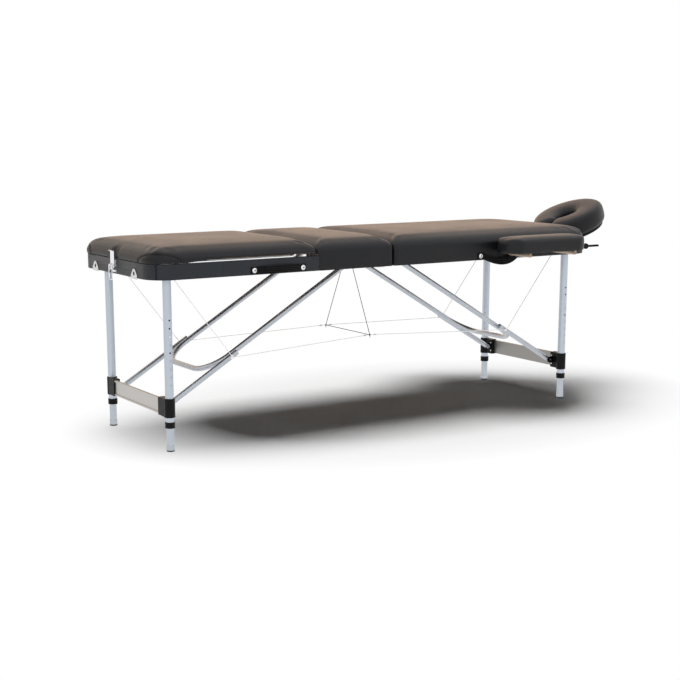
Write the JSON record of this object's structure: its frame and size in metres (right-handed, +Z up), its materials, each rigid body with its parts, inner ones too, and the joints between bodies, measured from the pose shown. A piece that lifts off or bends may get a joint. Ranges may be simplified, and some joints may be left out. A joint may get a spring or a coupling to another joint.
{
  "type": "folding massage table",
  "caption": "Portable padded massage table on folding aluminium legs, with a lifting backrest, face cradle, slide-in armrests and cable-tied braces.",
  "frame": {"origin": "on the floor, under the middle of the opened table's box, face cradle and armrests included", "axes": "+X along the table towards the face cradle, +Y across it towards the side without handles, +Z up"},
  "size_m": [2.1508, 0.856, 0.7507],
  "materials": {
    "black_vinyl": "grained PU-coated fabric over foam",
    "wrapped_rail": "plywood rail wrapped in black vinyl",
    "plywood": "bare birch plywood",
    "black_board": "black-covered plywood",
    "satin_aluminium": "satin anodised",
    "brushed_plate": "brushed lengthwise",
    "black_plastic": "fine-grained moulding",
    "foot_rubber": "dull",
    "bright_chrome": "polished",
    "zinc_steel": "zinc plated",
    "cradle_tube": "satin",
    "black_webbing": "woven strap",
    "cable_sheath": "clear sheath over steel strands",
    "black_cord": "twisted cord",
    "beech": "clear-lacquered beech"
  },
  "bodies": {
    "left_half": {"left_frame_rails": "wrapped_rail", "middle_deck": "plywood", "middle_pad": "black_vinyl", "left_pivot_mounts": "zinc_steel", "left_pins_and_screws": "bright_chrome", "left_hinge_leaves": "zinc_steel", "left_carry_handle": "black_webbing", "latch_base": "bright_chrome", "left_cradle_sockets": "zinc_steel", "prop_ratchets": "zinc_steel", "left_cables": "cable_sheath"},
    "fold_links": {"fold_links": "zinc_steel", "centre_cord": "black_cord"},
    "right_half": {"right_frame_rails": "wrapped_rail", "right_deck": "plywood", "right_pad": "black_vinyl", "right_pivot_mounts": "zinc_steel", "right_pins_and_screws": "bright_chrome", "right_hinge_leaves": "zinc_steel", "right_carry_handle": "black_webbing", "right_cradle_sockets": "zinc_steel", "latch_catch": "bright_chrome", "right_cables": "cable_sheath"},
    "backrest": {"backrest_board": "black_board", "backrest_pad": "black_vinyl", "backrest_fittings": "foot_rubber"},
    "backrest_prop": {"prop_bail": "bright_chrome"},
    "latch_lever": {"latch_lever": "bright_chrome"},
    "latch_bail": {"latch_bail": "bright_chrome"},
    "cradle_base": {"cradle_rods": "cradle_tube"},
    "cradle_head": {"cradle_platform": "black_board", "cradle_cushion": "black_vinyl"},
    "cradle_cam": {"cradle_cam_lever": "black_plastic"},
    "near_armrest": {"near_armrest_pad": "black_vinyl", "near_armrest_dowels": "beech"},
    "far_armrest": {"far_armrest_pad": "black_vinyl", "far_armrest_dowels": "beech"},
    "left_legs": {"left_upper_legs": "satin_aluminium", "left_stretcher": "brushed_plate", "left_leg_brackets": "black_plastic"},
    "left_brace": {"left_brace": "satin_aluminium"},
    "left_struts": {"left_struts": "satin_aluminium"},
    "left_near_lower_leg": {"left_near_lower_leg": "satin_aluminium", "left_near_foot": "foot_rubber"},
    "left_near_leg_button": {"left_near_leg_button": "bright_chrome"},
    "left_far_lower_leg": {"left_far_lower_leg": "satin_aluminium", "left_far_foot": "foot_rubber"},
    "left_far_leg_button": {"left_far_leg_button": "bright_chrome"},
    "right_legs": {"right_upper_legs": "satin_aluminium", "right_stretcher": "brushed_plate", "right_leg_brackets": "black_plastic"},
    "right_brace": {"right_brace": "satin_aluminium"},
    "right_struts": {"right_struts": "satin_aluminium"},
    "right_near_lower_leg": {"right_near_lower_leg": "satin_aluminium", "right_near_foot": "foot_rubber"},
    "right_near_leg_button": {"right_near_leg_button": "bright_chrome"},
    "right_far_lower_leg": {"right_far_lower_leg": "satin_aluminium", "right_far_foot": "foot_rubber"},
    "right_far_leg_button": {"right_far_leg_button": "bright_chrome"}
  },
  "joints": [
    {"name": "first_fold", "type": "hinge", "parent": "left_half", "child": "fold_links", "pos_m": [-0.14407, 0, 0.564], "axis": [0, 1, 0], "range_deg": [0, 90], "deforming": ["left_cables", "right_cables", "centre_cord"]},
    {"name": "second_fold", "type": "hinge", "parent": "fold_links", "child": "right_half", "pos_m": [-0.12607, 0, 0.564], "axis": [0, 1, 0], "range_deg": [0, 90]},
    {"name": "backrest_lift", "type": "hinge", "parent": "left_half", "child": "backrest", "pos_m": [-0.44807, 0, 0.676], "axis": [0, 1, 0], "range_deg": [0, 45]},
    {"name": "prop_swing", "type": "hinge", "parent": "backrest", "child": "backrest_prop", "pos_m": [-0.91507, 0, 0.624], "axis": [0, 1, 0], "range_deg": [0, 18]},
    {"name": "latch_throw", "type": "hinge", "parent": "left_half", "child": "latch_lever", "pos_m": [-1.06507, 0, 0.588], "axis": [0, -1, 0], "range_deg": [0, 120]},
    {"name": "bail_swing", "type": "hinge", "parent": "latch_lever", "child": "latch_bail", "pos_m": [-1.07137, 0, 0.6], "axis": [0, -1, 0], "range_deg": [-120, 0]},
    {"name": "cradle_slide", "type": "slide", "parent": "right_half", "child": "cradle_base", "axis": [1, 0, 0], "range_m": [0, 0.05]},
    {"name": "cradle_tilt", "type": "hinge", "parent": "cradle_base", "child": "cradle_head", "pos_m": [0.86493, 0, 0.584], "axis": [0, -1, 0], "range_deg": [-22, 18]},
    {"name": "cradle_cam_turn", "type": "hinge", "parent": "cradle_base", "child": "cradle_cam", "pos_m": [0.86493, 0, 0.584], "axis": [0, 1, 0], "range_deg": [0, 90]},
    {"name": "near_armrest_slide", "type": "slide", "parent": "right_half", "child": "near_armrest", "axis": [0, -1, 0], "range_m": [0, 0.05]},
    {"name": "far_armrest_slide", "type": "slide", "parent": "right_half", "child": "far_armrest", "axis": [0, 1, 0], "range_m": [0, 0.05]},
    {"name": "left_leg_fold", "type": "hinge", "parent": "left_half", "child": "left_legs", "pos_m": [-0.98007, 0, 0.586], "axis": [0, -1, 0], "range_deg": [0, 90]},
    {"name": "left_strut_fold", "type": "hinge", "parent": "left_legs", "child": "left_struts", "pos_m": [-0.95807, 0, 0.148], "axis": [0, -1, 0], "range_deg": [0, 62.55]},
    {"name": "left_brace_fold", "type": "hinge", "parent": "left_half", "child": "left_brace", "pos_m": [-0.21507, 0, 0.592], "axis": [0, 1, 0], "range_deg": [0, 30.87]},
    {"name": "left_near_height", "type": "slide", "parent": "left_legs", "child": "left_near_lower_leg", "axis": [0, 0, -1], "range_m": [-0.0532, 0.1596]},
    {"name": "left_near_button_press", "type": "slide", "parent": "left_legs", "child": "left_near_leg_button", "axis": [0, 1, 0], "range_m": [0, 0.004], "stiffness_N_per_m": 800, "springref_m": -0.002},
    {"name": "left_far_height", "type": "slide", "parent": "left_legs", "child": "left_far_lower_leg", "axis": [0, 0, -1], "range_m": [-0.0532, 0.1596]},
    {"name": "left_far_button_press", "type": "slide", "parent": "left_legs", "child": "left_far_leg_button", "axis": [0, -1, 0], "range_m": [0, 0.004], "stiffness_N_per_m": 800, "springref_m": -0.002},
    {"name": "right_leg_fold", "type": "hinge", "parent": "right_half", "child": "right_legs", "pos_m": [0.70993, 0, 0.586], "axis": [0, 1, 0], "range_deg": [0, 90]},
    {"name": "right_strut_fold", "type": "hinge", "parent": "right_legs", "child": "right_struts", "pos_m": [0.68793, 0, 0.148], "axis": [0, 1, 0], "range_deg": [0, 62.55]},
    {"name": "right_brace_fold", "type": "hinge", "parent": "right_half", "child": "right_brace", "pos_m": [-0.05507, 0, 0.592], "axis": [0, -1, 0], "range_deg": [0, 30.87]},
    {"name": "right_near_height", "type": "slide", "parent": "right_legs", "child": "right_near_lower_leg", "axis": [0, 0, -1], "range_m": [-0.0532, 0.1596]},
    {"name": "right_near_button_press", "type": "slide", "parent": "right_legs", "child": "right_near_leg_button", "axis": [0, 1, 0], "range_m": [0, 0.004], "stiffness_N_per_m": 800, "springref_m": -0.002},
    {"name": "right_far_height", "type": "slide", "parent": "right_legs", "child": "right_far_lower_leg", "axis": [0, 0, -1], "range_m": [-0.0532, 0.1596]},
    {"name": "right_far_button_press", "type": "slide", "parent": "right_legs", "child": "right_far_leg_button", "axis": [0, -1, 0], "range_m": [0, 0.004], "stiffness_N_per_m": 800, "springref_m": -0.002}
  ],
  "couplings": [
    {"joint": "prop_swing", "follows": "backrest_lift", "ratio": 0.3855},
    {"joint": "bail_swing", "follows": "latch_throw", "ratio": -1},
    {"joint": "left_leg_fold", "follows": "first_fold", "ratio": 1},
    {"joint": "left_strut_fold", "follows": "first_fold", "ratio": 0.69491},
    {"joint": "left_brace_fold", "follows": "first_fold", "ratio": 0.34291},
    {"joint": "right_leg_fold", "follows": "first_fold", "ratio": 1},
    {"joint": "right_strut_fold", "follows": "first_fold", "ratio": 0.69491},
    {"joint": "right_brace_fold", "follows": "first_fold", "ratio": 0.34291}
  ]
}
